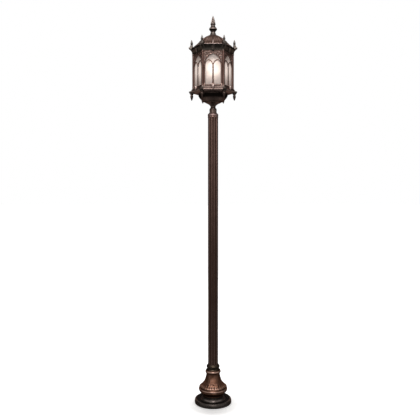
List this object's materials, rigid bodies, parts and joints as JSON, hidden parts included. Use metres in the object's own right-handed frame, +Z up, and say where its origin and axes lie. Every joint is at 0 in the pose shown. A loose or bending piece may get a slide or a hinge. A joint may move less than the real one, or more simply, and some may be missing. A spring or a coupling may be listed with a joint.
{
  "type": "garden lamp post",
  "caption": "Garden lamp post: hexagonal pointed-arch lantern with frosted panes and a lift-off finialled roof, on a fluted post with a bell base and round foot.",
  "frame": {"origin": "centre of the round foot, on the ground", "axes": "+Z up the post to the finial; a flat face of the lantern looks along -Y, which is the front"},
  "size_m": [0.262, 0.2388, 2.09],
  "materials": {
    "bronze": "satin",
    "dark_bronze": "satin",
    "frosted_glass": "matte",
    "lit_bulb": "satin",
    "zinc_steel": "satin",
    "black_rubber": "matte",
    "grey_plastic": "matte",
    "white_porcelain": "gloss",
    "black_sheath": "matte"
  },
  "bodies": {
    "post": {"foot_casting": "dark_bronze", "anchor_plate": "zinc_steel", "cable_grommet": "black_rubber", "earth_screw": "zinc_steel", "terminal_block": "grey_plastic", "rim_screws": "zinc_steel", "bell_casting": "bronze", "bell_screws": "zinc_steel", "socket_grub_screws": "zinc_steel", "post_collar": "bronze", "collar_grub_screw": "zinc_steel", "post_tube": "bronze", "post_cap": "bronze", "cap_grub_screws": "zinc_steel", "neck_ring": "bronze", "center_nipple": "zinc_steel", "nipple_nuts": "zinc_steel", "lantern_bowl": "dark_bronze", "tray_casting": "bronze", "lower_pendants": "bronze", "lower_column_screws": "zinc_steel", "corner_column_1": "bronze", "corner_column_2": "bronze", "corner_column_3": "bronze", "corner_column_4": "bronze", "corner_column_5": "bronze", "corner_column_6": "bronze", "arch_panel_1": "bronze", "arch_panel_2": "bronze", "arch_panel_3": "bronze", "arch_panel_4": "bronze", "arch_panel_5": "bronze", "arch_panel_6": "bronze", "glass_pane_1": "frosted_glass", "glass_pane_2": "frosted_glass", "glass_pane_3": "frosted_glass", "glass_pane_4": "frosted_glass", "glass_pane_5": "frosted_glass", "glass_pane_6": "frosted_glass", "upper_column_screws": "zinc_steel", "cornice_casting": "dark_bronze", "upper_finials": "bronze", "roof_bridge": "zinc_steel", "bridge_screws": "zinc_steel", "finial_rod": "zinc_steel", "rod_nuts": "zinc_steel", "roof_gasket": "black_rubber", "holder_bracket": "zinc_steel", "bracket_screws": "zinc_steel", "lamp_holder": "white_porcelain", "lamp_bulb": "lit_bulb", "lamp_lead": "black_sheath"},
    "roof": {"roof_dome": "bronze", "finial_washer": "zinc_steel"},
    "finial": {"top_finial": "bronze"}
  },
  "joints": [
    {"name": "roof_lift", "type": "slide", "parent": "post", "child": "roof", "axis": [0, 0, 1], "range_m": [0, 0.16]},
    {"name": "finial_turn", "type": "hinge", "parent": "roof", "child": "finial", "pos_m": [0, 0, 2], "axis": [0, 0, 1], "continuous": true}
  ]
}
